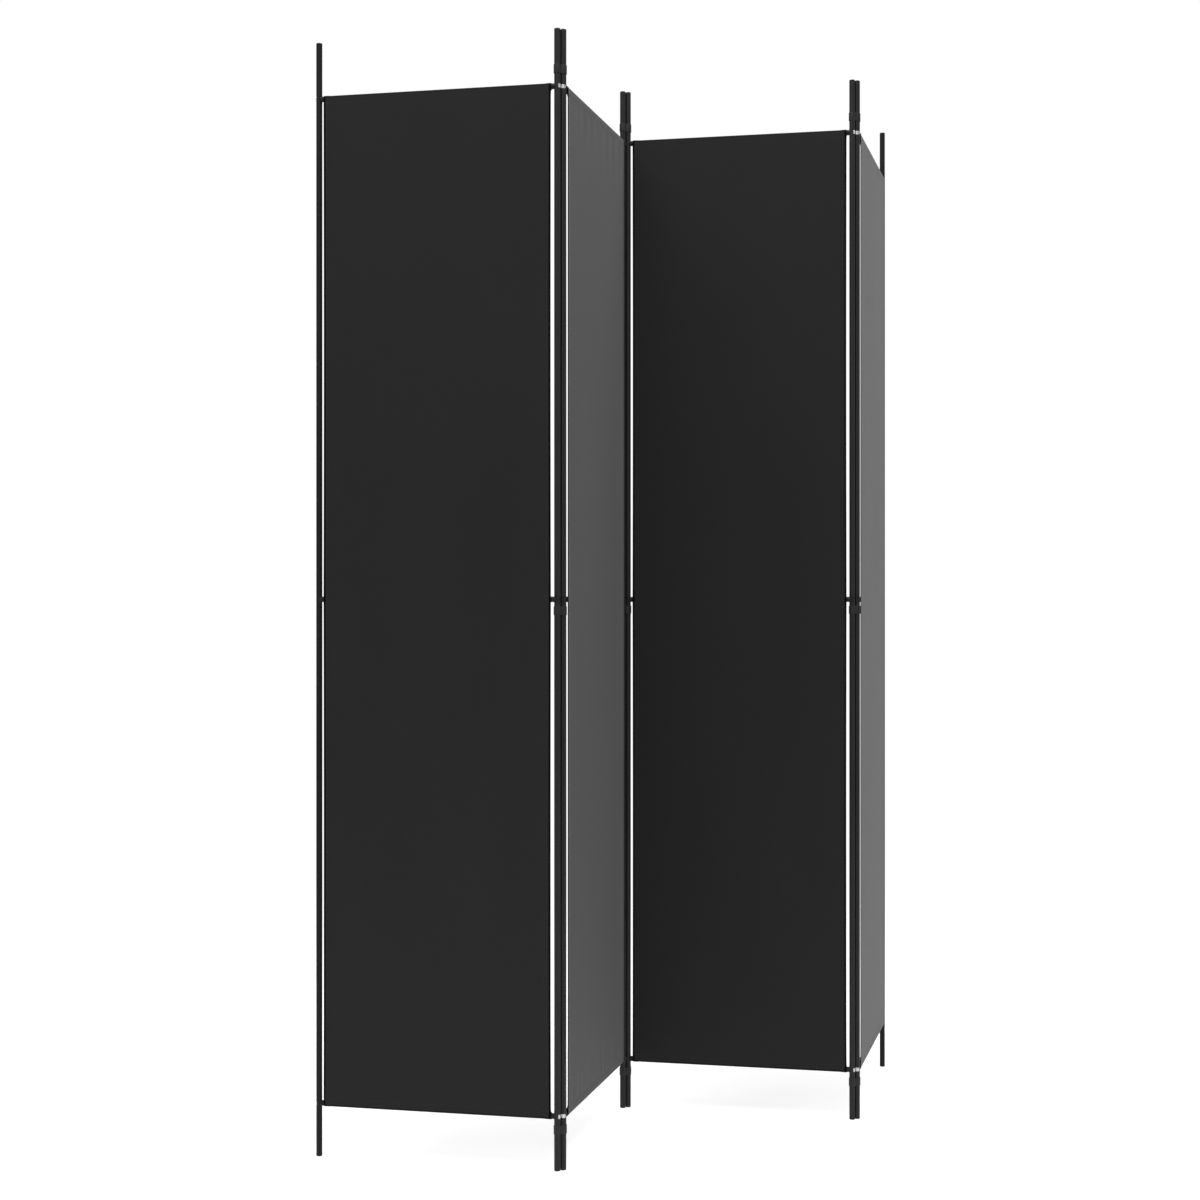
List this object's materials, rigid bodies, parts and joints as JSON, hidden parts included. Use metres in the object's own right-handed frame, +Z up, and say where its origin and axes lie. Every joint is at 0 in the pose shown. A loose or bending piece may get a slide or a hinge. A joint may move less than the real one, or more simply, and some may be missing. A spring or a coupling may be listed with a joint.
{
  "type": "folding room divider screen",
  "caption": "Free-standing folding room divider: fabric panels on slim tube frames, joined by figure-eight clips, stands in a zigzag and folds flat.",
  "frame": {"origin": "on the floor under the middle of the screen, at the centre of its bounding box as it stands", "axes": "+Z up, +X along the screen to the viewer's right when facing its front, -Y out of its front"},
  "size_m": [1.4458, 0.3502, 2.2],
  "materials": {
    "tube": "fine satin powder coat",
    "fabric": "fine plain-woven polyester, matt with a sheen at grazing angles",
    "clip": "satin moulded",
    "joiner": "satin moulded",
    "plug": "satin moulded",
    "washer": "bright zinc plate",
    "insert": "plain moulded",
    "bolt": "bright zinc plate"
  },
  "bodies": {
    "panel_1": {"panel_1_left_post_lower": "tube", "panel_1_left_post_upper": "tube", "panel_1_right_post_lower": "tube", "panel_1_right_post_upper": "tube", "panel_1_tee_joiners": "joiner", "panel_1_top_bar": "tube", "panel_1_middle_bar": "tube", "panel_1_bottom_bar": "tube", "panel_1_bar_inserts": "insert", "panel_1_bar_bolts": "bolt", "panel_1_bolt_washers": "washer", "panel_1_post_caps": "plug", "panel_1_feet": "plug", "panel_1_fabric": "fabric"},
    "hinge_1_2": {"hinge_clips_1_2": "clip"},
    "panel_2": {"panel_2_left_post_lower": "tube", "panel_2_left_post_upper": "tube", "panel_2_right_post_lower": "tube", "panel_2_right_post_upper": "tube", "panel_2_tee_joiners": "joiner", "panel_2_top_bar": "tube", "panel_2_middle_bar": "tube", "panel_2_bottom_bar": "tube", "panel_2_bar_inserts": "insert", "panel_2_bar_bolts": "bolt", "panel_2_bolt_washers": "washer", "panel_2_post_caps": "plug", "panel_2_feet": "plug", "panel_2_fabric": "fabric"},
    "hinge_2_3": {"hinge_clips_2_3": "clip"},
    "panel_3": {"panel_3_left_post_lower": "tube", "panel_3_left_post_upper": "tube", "panel_3_right_post_lower": "tube", "panel_3_right_post_upper": "tube", "panel_3_tee_joiners": "joiner", "panel_3_top_bar": "tube", "panel_3_middle_bar": "tube", "panel_3_bottom_bar": "tube", "panel_3_bar_inserts": "insert", "panel_3_bar_bolts": "bolt", "panel_3_bolt_washers": "washer", "panel_3_post_caps": "plug", "panel_3_feet": "plug", "panel_3_fabric": "fabric"},
    "hinge_3_4": {"hinge_clips_3_4": "clip"},
    "panel_4": {"panel_4_left_post_lower": "tube", "panel_4_left_post_upper": "tube", "panel_4_right_post_lower": "tube", "panel_4_right_post_upper": "tube", "panel_4_tee_joiners": "joiner", "panel_4_top_bar": "tube", "panel_4_middle_bar": "tube", "panel_4_bottom_bar": "tube", "panel_4_bar_inserts": "insert", "panel_4_bar_bolts": "bolt", "panel_4_bolt_washers": "washer", "panel_4_post_caps": "plug", "panel_4_feet": "plug", "panel_4_fabric": "fabric"}
  },
  "joints": [
    {"name": "panel_2_in_clips_2_3", "type": "hinge", "parent": "hinge_2_3", "child": "panel_2", "pos_m": [-0.0067, 0.16811, 1.1], "axis": [0, 0, 1], "range_deg": [-44, 45]},
    {"name": "panel_3_in_clips_2_3", "type": "hinge", "parent": "hinge_2_3", "child": "panel_3", "pos_m": [0.0067, 0.16811, 1.1], "axis": [0, 0, -1], "range_deg": [-44, 45]},
    {"name": "clips_1_2_on_panel_2", "type": "hinge", "parent": "panel_2", "child": "hinge_1_2", "pos_m": [-0.35486, -0.16811, 1.1], "axis": [0, 0, -1], "range_deg": [-44, 45]},
    {"name": "panel_1_in_clips_1_2", "type": "hinge", "parent": "hinge_1_2", "child": "panel_1", "pos_m": [-0.36826, -0.16811, 1.1], "axis": [0, 0, -1], "range_deg": [-44, 45]},
    {"name": "clips_3_4_on_panel_3", "type": "hinge", "parent": "panel_3", "child": "hinge_3_4", "pos_m": [0.35486, -0.16811, 1.1], "axis": [0, 0, 1], "range_deg": [-44, 45]},
    {"name": "panel_4_in_clips_3_4", "type": "hinge", "parent": "hinge_3_4", "child": "panel_4", "pos_m": [0.36826, -0.16811, 1.1], "axis": [0, 0, 1], "range_deg": [-44, 45]}
  ]
}
